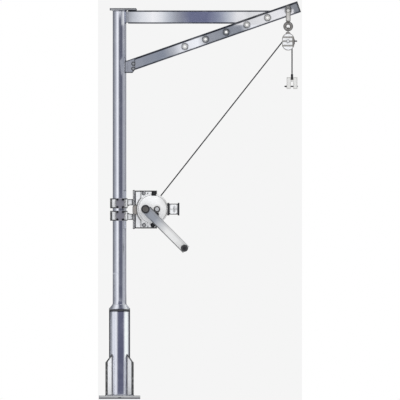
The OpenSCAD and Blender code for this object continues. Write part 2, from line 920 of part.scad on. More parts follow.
module drum() {
    color(steel) {
        shaft(core_r, drum_x, winch_z, -flange_in, flange_in);
        for (y0 = [-flange_in - flange_t, flange_in]) shaft(flange_r, drum_x, winch_z, y0, y0 + flange_t);
        shaft(drum_shaft_r, drum_x, winch_z, -ratchet_out - 3, side_out + 8);
    }
}

module rope_windings() {
    color(wire) {
        for (i = [0 : layer_1_turns - 1])
            y_ring(layer_1_r, rope_r, drum_x, (i - (layer_1_turns - 1) / 2) * turn_pitch, winch_z);
        for (i = [1 : layer_2_turns])
            y_ring(drum_pitch_r, rope_r, drum_x, -i * turn_pitch, winch_z);
    }
}

// ---- rope and end fitting ----

module rope_run() {
    leave = rope_angle + 90;
    seam = 0.01;             // keeps the straight run and its two arcs solids of their own
    color(wire) {
        y_ring(drum_pitch_r, rope_r, drum_x, 0, winch_z, 170, leave);
        translate([drum_x + drum_pitch_r * cos(leave), 0, winch_z + drum_pitch_r * sin(leave)])
            rotate([0, 90 - rope_angle, 0]) translate([0, 0, seam]) cylinder(r = rope_r, h = rope_length - 2 * seam);
        y_ring(sheave_pitch_r, rope_r, sheave_x, 0, sheave_z, leave, 0);
    }
}

module rope_fall() {
    color(wire) translate([fall_x, 0, ferrule_high])
        cylinder(r = rope_r, h = sheave_z - ferrule_high);
}

module rope_ferrule() {
    color(dark) translate([fall_x, 0, bridge_high]) cylinder(r = ferrule_r, h = ferrule_high - bridge_high);
}

module clevis() {
    cheek = (clevis_w - clevis_gap) / 2;
    color(zinc) difference() {
        union() {
            for (x = [-clevis_w / 2, clevis_gap / 2])
                translate([fall_x + x, -clevis_t / 2, clevis_low]) cube([cheek, clevis_t, clevis_high - clevis_low]);
            translate([fall_x - clevis_gap / 2, -clevis_t / 2, bridge_low])
                cube([clevis_gap, clevis_t, bridge_high - bridge_low]);
        }
        translate([fall_x - clevis_w, 0, clevis_pin_z]) rotate([0, 90, 0]) cylinder(r = 4.1, h = 2 * clevis_w);
    }
}

module clevis_pin() {
    head = 14;
    color(dark) translate([fall_x, 0, clevis_pin_z]) rotate([0, 90, 0]) {
        translate([0, 0, -clevis_w / 2 - 1]) cylinder(r = 4, h = clevis_w + 4);
        translate([0, 0, -clevis_w / 2 - head]) cylinder(r1 = 3, r2 = 6, h = head);
    }
}

base_plate();
gusset_front_left();
gusset_front_right();
gusset_back_left();
gusset_back_right();
socket_tube();
bottom_bush();
top_bush();
mast_tube();
rain_collar();
cap_plate();
top_bar();
boom_bracket();
bracket_bolts();
boom();
boom_bushes();
boom_end_cap();
hanger_stirrup();
hanger_pin();
eye_bolt();
block_eye();
block_front();
block_back();
block_ribs();
block_side();
block_axle();
clamp_upper();
clamp_lower();
clamp_jaws();
clamp_bolts();
winch_back_plate();
winch_side_front();
winch_side_back();
winch_stiffeners();
winch_spacers();
gear_cover();
cover_bolts();
side_box();
side_box_ends();
frame_pads();
pawl();
rope_run();
crank_shaft();
pinion();
crank_arm();
crank_hub();
grip_spindle();
crank_grip();
drum();
drum_gear();
ratchet();
rope_windings();
sheave();
rope_fall();
rope_ferrule();
clevis();
clevis_pin();
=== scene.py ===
"""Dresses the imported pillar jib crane: finishes, welds, wire rope and small fasteners on the CAD frame."""
import json
import math

import bmesh
import bpy
from mathutils import Matrix, Vector


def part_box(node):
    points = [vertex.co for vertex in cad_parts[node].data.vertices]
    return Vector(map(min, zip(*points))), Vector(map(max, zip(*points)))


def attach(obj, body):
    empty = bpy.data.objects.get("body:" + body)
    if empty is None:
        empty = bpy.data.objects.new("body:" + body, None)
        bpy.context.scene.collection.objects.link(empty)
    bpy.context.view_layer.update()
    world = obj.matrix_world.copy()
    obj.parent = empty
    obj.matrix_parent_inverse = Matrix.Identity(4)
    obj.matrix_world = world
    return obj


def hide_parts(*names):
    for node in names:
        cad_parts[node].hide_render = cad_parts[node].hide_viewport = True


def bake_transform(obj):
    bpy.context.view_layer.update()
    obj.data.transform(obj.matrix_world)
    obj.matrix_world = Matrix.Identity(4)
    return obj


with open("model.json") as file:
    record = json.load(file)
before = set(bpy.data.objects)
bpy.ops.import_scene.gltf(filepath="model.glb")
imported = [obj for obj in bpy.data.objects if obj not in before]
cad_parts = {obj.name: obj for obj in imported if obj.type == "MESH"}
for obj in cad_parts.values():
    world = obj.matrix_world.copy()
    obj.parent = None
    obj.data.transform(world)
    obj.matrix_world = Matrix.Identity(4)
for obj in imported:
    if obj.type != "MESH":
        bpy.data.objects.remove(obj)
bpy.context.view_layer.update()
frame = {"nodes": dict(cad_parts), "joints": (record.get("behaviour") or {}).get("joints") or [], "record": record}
NODES = frame["nodes"]

MM = 0.001
JOINT_AT = {j["child"]: Vector(j.get("pos_m", (0, 0, 0))) for j in frame["joints"]}


# ---- places read from the frame ----

def middle(node):
    low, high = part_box(node)
    return (low + high) / 2


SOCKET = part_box("socket_tube")
SOCKET_R = SOCKET[1].x
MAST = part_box("mast_tube")
MAST_R = MAST[1].x
SHEAVE = middle("sheave")
DRUM = JOINT_AT["drum"]
CRANK = JOINT_AT["crank"]
FALL = middle("rope_fall")
ROPE_R = (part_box("rope_fall")[1].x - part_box("rope_fall")[0].x) / 2
SHEAVE_PITCH = FALL.x - SHEAVE.x
BOOM_ANGLE = 19.25
BOOM_ROOT_Z = 1987 * MM
BOOM_HALF = 35 * MM


# ---- materials ----

class Shader:
    """A material's node tree, with one call for each kind of node that the finishes share."""

    def __init__(self, name):
        self.material = bpy.data.materials.new(name)
        self.material.use_nodes = True
        self.tree = self.material.node_tree
        self.bsdf = self.tree.nodes["Principled BSDF"]
        self.place = self.add("ShaderNodeTexCoord").outputs["Object"]

    def add(self, kind, **settings):
        node = self.tree.nodes.new(kind)
        for key, value in settings.items():
            setattr(node, key, value)
        return node

    def link(self, source, target):
        self.tree.links.new(source, target)

    def noise(self, scale, detail=3.0):
        node = self.add("ShaderNodeTexNoise")
        node.inputs["Scale"].default_value = scale
        node.inputs["Detail"].default_value = detail
        node.inputs["Roughness"].default_value = 0.55
        self.link(self.place, node.inputs["Vector"])
        return node.outputs["Fac"]

    def cells(self, scale):
        """The random value of each Voronoi cell, as zinc spangle has."""
        node = self.add("ShaderNodeTexVoronoi", feature="SMOOTH_F1")
        node.inputs["Scale"].default_value = scale
        node.inputs["Smoothness"].default_value = 0.4
        self.link(self.place, node.inputs["Vector"])
        bright = self.add("ShaderNodeRGBToBW")
        self.link(node.outputs["Color"], bright.inputs["Color"])
        return bright.outputs["Val"]

    def fit(self, value, low, high, to_low, to_high):
        """Maps value from low..high to to_low..to_high, clamped."""
        node = self.add("ShaderNodeMapRange")
        self.link(value, node.inputs["Value"])
        for key, number in zip(("From Min", "From Max", "To Min", "To Max"), (low, high, to_low, to_high)):
            node.inputs[key].default_value = number
        return node.outputs["Result"]

    def mix(self, amount, first, second):
        """Mixes two colours, each a tuple or a socket."""
        node = self.add("ShaderNodeMix", data_type="RGBA")
        self.link(amount, node.inputs[0])
        for socket, value in ((node.inputs[6], first), (node.inputs[7], second)):
            if isinstance(value, tuple):
                socket.default_value = (*value, 1.0)
            else:
                self.link(value, socket)
        return node.outputs[2]

    def maths(self, operation, first, second=0.0):
        node = self.add("ShaderNodeMath", operation=operation)
        for socket, value in zip(node.inputs, (first, second)):
            if isinstance(value, (int, float)):
                socket.default_value = value
            else:
                self.link(value, socket)
        return node.outputs[0]

    def edge(self, radius, soft=0.06):
        """0 on open faces, 1 along outer edges within about two thirds of radius."""
        bevel = self.add("ShaderNodeBevel", samples=8)
        bevel.inputs["Radius"].default_value = radius
        shape = self.add("ShaderNodeNewGeometry")
        dot = self.add("ShaderNodeVectorMath", operation="DOT_PRODUCT")
        self.link(bevel.outputs["Normal"], dot.inputs[0])
        self.link(shape.outputs["Normal"], dot.inputs[1])
        return self.fit(dot.outputs["Value"], 1.0 - soft * 0.1, 1.0 - soft, 0.0, 1.0)

    def split(self, vector):
        node = self.add("ShaderNodeSeparateXYZ")
        self.link(vector, node.inputs["Vector"])
        return node.outputs

    def within(self, value, low, high, soft=0.8 * MM):
        """1 where value lies between low and high, fading to 0 over soft."""
        above = self.fit(value, low - soft, low, 0.0, 1.0)
        below = self.fit(value, high, high + soft, 1.0, 0.0)
        return self.maths("MULTIPLY", above, below)

    def strips(self, boxes):
        """1 inside any of the boxes ((x low, x high), (z low, z high)), in metres."""
        x, _, z = self.split(self.place)
        total = None
        for (x_low, x_high), (z_low, z_high) in boxes:
            mask = self.maths("MULTIPLY", self.within(x, x_low, x_high), self.within(z, z_low, z_high))
            total = mask if total is None else self.maths("MAXIMUM", total, mask)
        return self.maths("MULTIPLY", total, self.sideways())

    def sideways(self):
        """1 on faces that look to the front or back and on edges beside them, 0 on the others."""
        along, _, up = self.split(self.add("ShaderNodeNewGeometry").outputs["Normal"])
        ends = self.fit(self.maths("ABSOLUTE", along), 0.90, 0.97, 1.0, 0.0)
        return self.maths("MULTIPLY", ends, self.fit(self.maths("ABSOLUTE", up), 0.82, 0.93, 1.0, 0.0))

    def along_boom(self, top, bottom):
        """1 in strips of these widths along the boom's upper and lower edges."""
        x, _, z = self.split(self.place)
        slope = math.radians(BOOM_ANGLE)
        root = BOOM_ROOT_Z * math.cos(slope)
        rise = self.maths("MULTIPLY", z, math.cos(slope))
        across = self.maths("SUBTRACT", rise, self.maths("MULTIPLY", x, math.sin(slope)))
        high = self.within(across, root + BOOM_HALF - top, root + BOOM_HALF + MM)
        low = self.within(across, root - BOOM_HALF - MM, root - BOOM_HALF + bottom)
        return self.maths("MULTIPLY", self.maths("MAXIMUM", high, low), self.sideways())

    def on_arm(self):
        """Distances along the crank arm from its shaft, and across it towards the upper side."""
        x, _, z = self.split(self.place)
        right = self.maths("SUBTRACT", x, CRANK.x)
        up = self.maths("SUBTRACT", z, CRANK.z)
        diagonal = math.sqrt(0.5)
        along = self.maths("MULTIPLY", self.maths("SUBTRACT", right, up), diagonal)
        across = self.maths("MULTIPLY", self.maths("ADD", right, up), diagonal)
        return along, across

    def length(self, first, second):
        """The length of a vector with these two components."""
        squares = [self.maths("MULTIPLY", side, side) for side in (first, second)]
        return self.maths("SQRT", self.maths("ADD", *squares))

    def around(self, centre, low, high):
        """1 where the distance from an axis along Y through centre lies between low and high."""
        x, _, z = self.split(self.place)
        reach = self.length(self.maths("SUBTRACT", x, centre.x), self.maths("SUBTRACT", z, centre.z))
        return self.within(reach, low, high)

    def radial(self, inner, outer):
        """1 on faces that look away from or towards the mast axis or up, and where it is nearer than inner
        or farther than outer."""
        shape = self.add("ShaderNodeNewGeometry")
        nx, ny, nz = self.split(shape.outputs["Normal"])
        x, y, _ = self.split(self.place)
        reach = self.length(x, y)
        dot = self.maths("ADD", self.maths("MULTIPLY", x, nx), self.maths("MULTIPLY", y, ny))
        outward = self.maths("ABSOLUTE", self.maths("DIVIDE", dot, reach))
        faces = self.maths("MAXIMUM", self.fit(outward, 0.5, 0.6, 0.0, 1.0), self.fit(nz, 0.3, 0.4, 0.0, 1.0))
        near = self.fit(reach, inner - MM, inner, 1.0, 0.0)
        far = self.fit(reach, outer, outer + MM, 0.0, 1.0)
        return self.maths("MAXIMUM", faces, self.maths("MAXIMUM", near, far))

    def bump(self, height, strength, distance):
        node = self.add("ShaderNodeBump")
        node.inputs["Strength"].default_value = strength
        node.inputs["Distance"].default_value = distance
        self.link(height, node.inputs["Height"])
        self.link(node.outputs["Normal"], self.bsdf.inputs["Normal"])

    def put(self, **values):
        for key, value in values.items():
            socket = self.bsdf.inputs[key.replace("_", " ")]
            if isinstance(value, (int, float)):
                socket.default_value = value
            elif isinstance(value, tuple):
                socket.default_value = (*value, 1.0)
            else:
                self.link(value, socket)
        return self.material


def satin_steel(name, tone, shade, edge_tone, rough=(0.14, 0.22), edge=14 * MM, strips=(), boom_strips=None):
    """Zinc-coated steel: soft spangle, fine rolling grain, handling marks and darker edges."""
    s = Shader(name)
    cells = s.cells(34.0)
    clouds = s.noise(5.0, 4.0)
    lines = s.noise(260.0, 2.0)
    dark_edges = s.edge(edge)
    # strips and boom_strips darken bands along edges; on the top bar and the boom these bands are painted dark
    # reflection of the bars' rounded corners
    if strips:
        dark_edges = s.maths("MAXIMUM", dark_edges, s.strips(strips))
    if boom_strips:
        dark_edges = s.maths("MAXIMUM", dark_edges, s.along_boom(*boom_strips))
    dark_edges_mottled = s.maths("MULTIPLY", dark_edges, s.fit(s.noise(24.0, 4.0), 0.30, 0.55, 0.86, 1.0))
    body = s.mix(s.fit(s.maths("ADD", cells, clouds), 0.6, 1.4, 0.0, 1.0), shade, tone)
    colour = s.mix(dark_edges_mottled, body, edge_tone)
    roughness = s.maths("ADD", s.fit(clouds, 0.3, 0.7, *rough), s.fit(cells, 0.0, 1.0, -0.03, 0.03))
    s.bump(s.maths("ADD", lines, s.maths("MULTIPLY", cells, 0.4)), 0.08, 0.25 * MM)
    return s.put(Base_Color=colour, Metallic=1.0, Roughness=roughness)


def enamel(name, tone, shade, edge_tone, edge=14 * MM, rough=0.34, strips=(), cut_faces=None):
    """Sprayed enamel over steel: faint orange peel, cloudy tone and dark bare edges.

    strips are places darkened along an edge. cut_faces leaves the edges of radial plates
    bare, and their faces outside these two distances from the mast axis.
    """
    s = Shader(name)
    clouds = s.noise(7.0, 5.0)
    peel = s.noise(420.0, 2.0)
    bare = s.edge(edge)
    if strips:
        bare = s.maths("MAXIMUM", bare, s.strips(strips))
    if cut_faces:
        bare = s.maths("MAXIMUM", bare, s.radial(*cut_faces))
    chips = s.maths("MULTIPLY", bare, s.fit(s.noise(60.0, 4.0), 0.36, 0.50, 0.85, 1.0))
    body = s.mix(s.fit(clouds, 0.35, 0.7, 0.0, 1.0), tone, shade)
    colour = s.mix(chips, body, edge_tone)
    relief = s.maths("SUBTRACT", s.maths("MULTIPLY", peel, 0.15), s.maths("MULTIPLY", chips, 0.3))
    s.bump(relief, 0.25, 0.25 * MM)
    return s.put(Base_Color=colour, Roughness=s.fit(clouds, 0.3, 0.7, rough - 0.05, rough + 0.08))


def plated(name, tone, shade, rough, edge_tone=None, edge=7 * MM):
    """Bright plating or bare machined steel with a fine mottled grain."""
    s = Shader(name)
    grain = s.noise(180.0, 3.0)
    clouds = s.noise(18.0, 4.0)
    colour = s.mix(s.fit(clouds, 0.3, 0.7, 0.0, 1.0), shade, tone)
    if edge_tone:
        colour = s.mix(s.edge(edge), colour, edge_tone)
    s.bump(grain, 0.12, 0.2 * MM)
    roughness = s.fit(clouds, 0.3, 0.7, rough - 0.05, rough + 0.07)
    return s.put(Base_Color=colour, Metallic=1.0, Roughness=roughness)


def turned(name, tone, shade, rough, axis_at):
    """Steel turned about an axis along Y through axis_at: fine rings from the tool."""
    s = Shader(name)
    move = s.add("ShaderNodeMapping")
    move.inputs["Location"].default_value = (-axis_at.x, 0, -axis_at.z)
    s.link(s.place, move.inputs["Vector"])
    x, y, z = s.split(move.outputs["Vector"])
    travel = s.maths("ADD", s.length(x, z), y)
    rings = s.maths("SINE", s.maths("MULTIPLY", travel, 2 * math.pi / (0.9 * MM)))
    clouds = s.noise(25.0, 4.0)
    colour = s.mix(s.fit(clouds, 0.3, 0.7, 0.0, 1.0), shade, tone)
    s.bump(rings, 0.10, 0.15 * MM)
    roughness = s.fit(clouds, 0.3, 0.7, rough - 0.05, rough + 0.07)
    return s.put(Base_Color=colour, Metallic=1.0, Roughness=roughness)


def moulded(name, tone, shade, rough, scale=300.0):
    """Moulded plastic with a fine eroded texture."""
    s = Shader(name)
    clouds = s.noise(20.0, 4.0)
    s.bump(s.noise(scale, 3.0), 0.35, 0.25 * MM)
    colour = s.mix(s.fit(clouds, 0.3, 0.7, 0.0, 1.0), tone, shade)
    return s.put(Base_Color=colour, Roughness=s.fit(clouds, 0.3, 0.7, rough - 0.08, rough + 0.08))


DARK_EDGE = (0.055, 0.06, 0.075)
LIGHT = (0.90, 0.905, 0.91)
LIGHT_SHADE = (0.84, 0.845, 0.85)
BARE = (0.045, 0.045, 0.045)
STEEL = (0.84, 0.86, 0.92)
STEEL_SHADE = (0.79, 0.81, 0.88)
FINISHES = {
    "galvanised_steel": satin_steel("galvanised_steel", STEEL, STEEL_SHADE, DARK_EDGE),
    "light_plate": enamel("light_plate", LIGHT, LIGHT_SHADE, BARE),
    "cover_paint": enamel("cover_paint", LIGHT, LIGHT_SHADE, BARE, edge=8 * MM, rough=0.28),
    # the brown-grey of brown_primer is painted shade: it colours pads set where a shade lies between the clamp
    # arms and the winch frame
    "brown_primer": enamel("brown_primer", (0.31, 0.29, 0.27), (0.25, 0.23, 0.21), BARE,
                           edge=8 * MM, rough=0.6),
    "nylon": moulded("nylon", (0.030, 0.032, 0.038), (0.050, 0.052, 0.060), 0.55),
    "zinc_plated": plated("zinc_plated", (0.80, 0.81, 0.82), (0.68, 0.69, 0.70), 0.30,
                          edge_tone=(0.16, 0.16, 0.16)),
    "crank_steel": plated("crank_steel", (0.80, 0.81, 0.84), (0.72, 0.73, 0.76), 0.28,
                          edge_tone=(0.12, 0.12, 0.13)),
    "black_oxide": plated("black_oxide", (0.050, 0.050, 0.054), (0.026, 0.026, 0.030), 0.38),
    "grip_plastic": moulded("grip_plastic", (0.022, 0.022, 0.024), (0.036, 0.036, 0.040), 0.50),
    "machined_steel": turned("machined_steel", (0.56, 0.57, 0.59), (0.46, 0.47, 0.49), 0.30, DRUM),
    "wire_rope": moulded("wire_rope", (0.016, 0.016, 0.018), (0.040, 0.040, 0.044), 0.45, scale=500.0),
}


def border(node, width, sides, high_x=None):
    """Strips along a flat node's sides, as seen from the crank's side: left, right, bottom, top."""
    low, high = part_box(node)
    right = high.x if high_x is None else high_x
    tall = (low.z - MM, high.z + MM)
    wide = (low.x - MM, right + MM)
    places = {
        "l": ((low.x - MM, low.x + width), tall),
        "r": ((right - width, right + MM), tall),
        "b": (wide, (low.z - MM, low.z + width)),
        "t": (wide, (high.z - width, high.z + MM)),
    }
    return [places[side] for side in sides]


def cover_finish():
    """White enamel, with painted shade in mottled patches over its right-hand part."""
    s = Shader("gear_cover")
    low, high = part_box("gear_cover")
    middle_x = (low.x + high.x) / 2
    x, _, _ = s.split(s.place)
    clouds = s.noise(7.0, 5.0)
    peel = s.noise(420.0, 2.0)
    patches = s.fit(s.noise(14.0, 4.0), 0.3, 0.6, 0.5, 1.0)
    # painted shade: grey patches over the cover's right-hand part, darkest towards its right edge
    painted_shade_right = s.maths("MULTIPLY", s.fit(x, middle_x + 25 * MM, high.x - 15 * MM, 0.0, 1.0), patches)
    body = s.mix(s.fit(clouds, 0.35, 0.7, 0.0, 1.0), (0.96, 0.96, 0.955), (0.91, 0.91, 0.905))
    body = s.mix(painted_shade_right, body, (0.66, 0.655, 0.64))
    colour = s.mix(s.edge(8 * MM), body, BARE)
    s.bump(peel, 0.1, 0.2 * MM)
    return s.put(Base_Color=colour, Roughness=s.fit(clouds, 0.3, 0.7, 0.30, 0.42))


def ratchet_finish():
    """A bright boss inside oiled, blackened teeth."""
    s = Shader("ratchet")
    clouds = s.noise(30.0, 4.0)
    boss = s.mix(s.fit(clouds, 0.3, 0.7, 0.0, 1.0), (0.62, 0.61, 0.58), (0.50, 0.49, 0.47))
    colour = s.mix(s.around(DRUM, 12.5 * MM, 30 * MM), boss, (0.035, 0.035, 0.036))
    s.bump(s.noise(200.0), 0.12, 0.2 * MM)
    return s.put(Base_Color=colour, Metallic=1.0, Roughness=s.fit(clouds, 0.3, 0.7, 0.38, 0.5))


def arm_finish():
    """Drawn steel bar: bright towards the grip, with a painted blue-grey reflection beside the hub, painted shade
    along its upper edge and a dark strip along its lower edge.
    """
    s = Shader("crank_arm")
    clouds = s.noise(12.0, 4.0)
    grain = s.noise(240.0, 2.0)
    along, across = s.on_arm()
    body = s.mix(s.fit(clouds, 0.3, 0.7, 0.0, 1.0), (0.81, 0.81, 0.80), (0.75, 0.75, 0.74))
    # painted reflection: dark blue-grey beside the hub, fading out between 85 and 185 mm along the arm
    colour = s.mix(s.fit(along, 85 * MM, 185 * MM, 1.0, 0.0), body, (0.285, 0.305, 0.345))
    # painted shade along the upper edge, darkening the highlight there
    colour = s.mix(s.fit(across, 9 * MM, 19 * MM, 0.0, 0.42), colour, (0.20, 0.20, 0.20))
    half = 26 * MM
    past_hub = s.fit(along, 60 * MM, 90 * MM, 0.0, 0.8)
    lower = s.maths("MULTIPLY", s.within(across, -half, 4 * MM - half), past_hub)
    colour = s.mix(lower, colour, (0.06, 0.06, 0.06))
    s.bump(grain, 0.1, 0.2 * MM)
    return s.put(Base_Color=colour, Metallic=0.35, Roughness=s.fit(clouds, 0.3, 0.7, 0.42, 0.54))


LINE = 7 * MM
CLAMP_LEFT = ((-60 * MM, -46 * MM), (1.0, 1.3))
BLOCK_SIDE = [((1042 * MM, 1056 * MM), (2122 * MM, 2182 * MM))]
STIFFENER_LEFT = ((128 * MM, 134 * MM), (1.0, 1.3))
PLATE_STRIPS = {
    "clamp_upper": border("clamp_upper", 6 * MM, "tb") + [CLAMP_LEFT],
    "clamp_lower": border("clamp_lower", 6 * MM, "tb") + [CLAMP_LEFT],
    "winch_side_front": border("winch_side_front", LINE, "lbtr", high_x=222 * MM),
    "winch_stiffeners": border("winch_stiffeners", LINE, "lbt") + [STIFFENER_LEFT],
    "side_box": border("side_box", 4 * MM, "tb"),
}
OWN_FINISH = {
    # the top bar's strips paint dark reflection along its upper and lower edges
    "top_bar": satin_steel("top_bar", STEEL, STEEL_SHADE, DARK_EDGE, edge=4 * MM,
                           strips=border("top_bar", 8 * MM, "tb", high_x=0.90)),
    # the boom's strips paint dark reflection along its upper and lower edges
    "boom": satin_steel("boom", STEEL, STEEL_SHADE, DARK_EDGE, boom_strips=(11 * MM, 8 * MM)),
    "eye_bolt": plated("eye_bolt", (0.30, 0.29, 0.28), (0.20, 0.195, 0.19), 0.32),
    "block_eye": plated("block_eye", (0.30, 0.29, 0.28), (0.20, 0.195, 0.19), 0.32),
    "hanger_stirrup": plated("hanger_stirrup", (0.62, 0.62, 0.62), (0.52, 0.52, 0.52), 0.34,
                             edge_tone=(0.10, 0.10, 0.10), edge=12 * MM),
    "block_ribs": enamel("block_ribs", (0.33, 0.32, 0.29), (0.27, 0.26, 0.24), BARE, edge=2 * MM),
    "clevis": enamel("clevis", (0.74, 0.735, 0.71), (0.68, 0.675, 0.65), (0.36, 0.35, 0.33), edge=9 * MM),
    "base_plate": satin_steel("base_plate", (0.50, 0.505, 0.51), (0.43, 0.435, 0.44), DARK_EDGE, edge=3 * MM,
                              strips=[((-1, 1), (-MM, 7 * MM))]),
    "rain_collar": satin_steel("rain_collar", STEEL, STEEL_SHADE, DARK_EDGE, edge=2 * MM),
    # the clamp jaws' dark violet-grey is painted reflection: the mast's dark reflected band carried across the
    # jaws
    "clamp_jaws": enamel("clamp_jaws", (0.205, 0.20, 0.235), (0.175, 0.17, 0.205), (0.36, 0.36, 0.38),
                         edge=4 * MM),
    "gear_cover": cover_finish(),
    "ratchet": ratchet_finish(),
    "winch_spacers": plated("winch_spacers", (0.60, 0.60, 0.60), (0.48, 0.48, 0.48), 0.34,
                            edge_tone=(0.30, 0.30, 0.30), edge=2 * MM),
    "crank_arm": arm_finish(),
    "crank_shaft": plated("crank_shaft", (0.17, 0.165, 0.16), (0.10, 0.097, 0.093), 0.42),
    "cap_plate": satin_steel("cap_plate", (0.50, 0.51, 0.53), (0.44, 0.45, 0.47), DARK_EDGE),
}
for plate, plate_strips in PLATE_STRIPS.items():
    OWN_FINISH[plate] = enamel(plate, LIGHT, LIGHT_SHADE, BARE, strips=plate_strips)
for cheek in ("block_front", "block_back"):
    OWN_FINISH[cheek] = enamel(cheek, LIGHT, LIGHT_SHADE, (0.16, 0.15, 0.14), edge=12 * MM, strips=BLOCK_SIDE)
GUSSET_REACH = math.hypot(*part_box("gusset_back_right")[1].xy)
for corner in ("front_left", "front_right", "back_left", "back_right"):
    gusset = "gusset_" + corner
    OWN_FINISH[gusset] = enamel(gusset, LIGHT, LIGHT_SHADE, BARE, edge=14 * MM,
                                cut_faces=(SOCKET_R + 9 * MM, GUSSET_REACH - 17 * MM))
SLOT_OF = {part["node"]: part["material_slot"] for part in frame["record"]["subparts"]}


def dress(piece, material):
    piece.data.materials.clear()
    piece.data.materials.append(material)


def finish_cad_nodes():
    for name, node in NODES.items():
        dress(node, OWN_FINISH.get(name, FINISHES[SLOT_OF[name]]))


# ---- mesh pieces ----

def piece_from(name, mesh, body, finish, material=None):
    """A new object of a bmesh, riding on body, with a slot's finish or a material of its own."""
    data = bpy.data.meshes.new(name)
    mesh.to_mesh(data)
    mesh.free()
    piece = bpy.data.objects.new(name, data)
    bpy.context.scene.collection.objects.link(piece)
    dress(piece, material or FINISHES[finish])
    for face in data.polygons:
        face.use_smooth = True
    if body:
        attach(piece, body)
    return piece


ALONG_Y = Vector((0, 1, 0))
ALONG_Z = Vector((0, 0, 1))


def sweep(mesh, path, radius, sides=8, closed=False, up=ALONG_Y):
    """Adds a round bar along path. radius is a number, or a function of the ring's number."""
    rings = []
    count = len(path)
    for i, point in enumerate(path):
        before = path[i - 1] if i or closed else point
        after = path[(i + 1) % count] if i < count - 1 or closed else point
        along = (after - before).normalized()
        side = along.cross(up)
        side = side.normalized() if side.length > 1e-6 else along.orthogonal().normalized()
        other = side.cross(along)
        r = radius(i) if callable(radius) else radius
        rings.append([
            mesh.verts.new(point + r * (math.cos(a) * side + math.sin(a) * other))
            for a in (2 * math.pi * k / sides for k in range(sides))
        ])
    pairs = list(zip(rings, rings[1:])) + ([(rings[-1], rings[0])] if closed else [])
    for low, high in pairs:
        for k in range(sides):
            mesh.faces.new((low[k], low[(k + 1) % sides], high[(k + 1) % sides], high[k]))
    if not closed:
        mesh.faces.new(rings[0][::-1])
        mesh.faces.new(rings[-1])


def resampled(path, step):
    """Points step apart along a chain of points, with the last one kept."""
    points = [path[0]]
    left = step
    for start, end in zip(path, path[1:]):
        length = (end - start).length
        done = 0.0
        while length - done >= left:
            done += left
            points.append(start.lerp(end, done / length))
            left = step
        left -= length - done
    points.append(path[-1])
    return points


STRANDS = 6
STRAND_R = ROPE_R / 3
LAY = 13 * ROPE_R


def lay_rope(mesh, path, sides=5):
    """Six strands laid round a core along path, as wire rope is."""
    travelled = 0.0
    offsets = [[] for _ in range(STRANDS)]
    for i, point in enumerate(path):
        if i:
            travelled += (point - path[i - 1]).length
        along = (path[min(i + 1, len(path) - 1)] - path[max(i - 1, 0)]).normalized()
        side = along.cross(ALONG_Y)
        side = side.normalized() if side.length > 1e-6 else along.orthogonal().normalized()
        other = side.cross(along)
        for k in range(STRANDS):
            angle = 2 * math.pi * (travelled / LAY + k / STRANDS)
            out = math.cos(angle) * side + math.sin(angle) * other
            offsets[k].append(point + (ROPE_R - STRAND_R) * out)
    for strand in offsets:
        sweep(mesh, strand, STRAND_R, sides)
    sweep(mesh, path, STRAND_R * 1.1, sides)


def arc(centre, radius, start, end, steps):
    """Points on an arc in the XZ plane, with angles in degrees from +X towards +Z."""
    angles = [math.radians(start + (end - start) * i / steps) for i in range(steps + 1)]
    return [Vector((centre.x + radius * math.cos(a), 0, centre.z + radius * math.sin(a))) for a in angles]


DRUM_CORE_R = 21 * MM
LAYER_STEP = 0.867
LAYER_1_R = DRUM_CORE_R + ROPE_R
LAYER_2_R = LAYER_1_R + 2 * ROPE_R * LAYER_STEP
TURN_PITCH = 8.2 * MM
LAYER_1_TURNS = 8
LAYER_2_TURNS = 3
CROSSING = 0.15


def rope_line():
    """The run's tangent points on the drum and on the sheave, and its angle in degrees."""
    span = Vector((SHEAVE.x - DRUM.x, 0, SHEAVE.z - DRUM.z))
    lean = math.asin((LAYER_2_R - SHEAVE_PITCH) / span.length)
    angle = math.degrees(math.atan2(span.z, span.x) + lean)
    off = math.radians(angle + 90)
    out = Vector((math.cos(off), 0, math.sin(off)))
    return DRUM + LAYER_2_R * out, Vector((SHEAVE.x, 0, SHEAVE.z)) + SHEAVE_PITCH * out, angle


def coils(radius, places, steps=54):
    """A layer of turns on the drum at these y. The last part of each turn crosses to the next."""
    path = []
    for place, following in zip(places, places[1:] + places[-1:]):
        for k in range(steps):
            share = k / steps
            step = max(0.0, (share - 1 + CROSSING) / CROSSING)
            y = place + (following - place) * step * step * (3 - 2 * step)
            turn = 2 * math.pi * share
            path.append(DRUM + Vector((radius * math.cos(turn), y, radius * math.sin(turn))))
    path.append(DRUM + Vector((radius, places[-1], 0)))
    return path


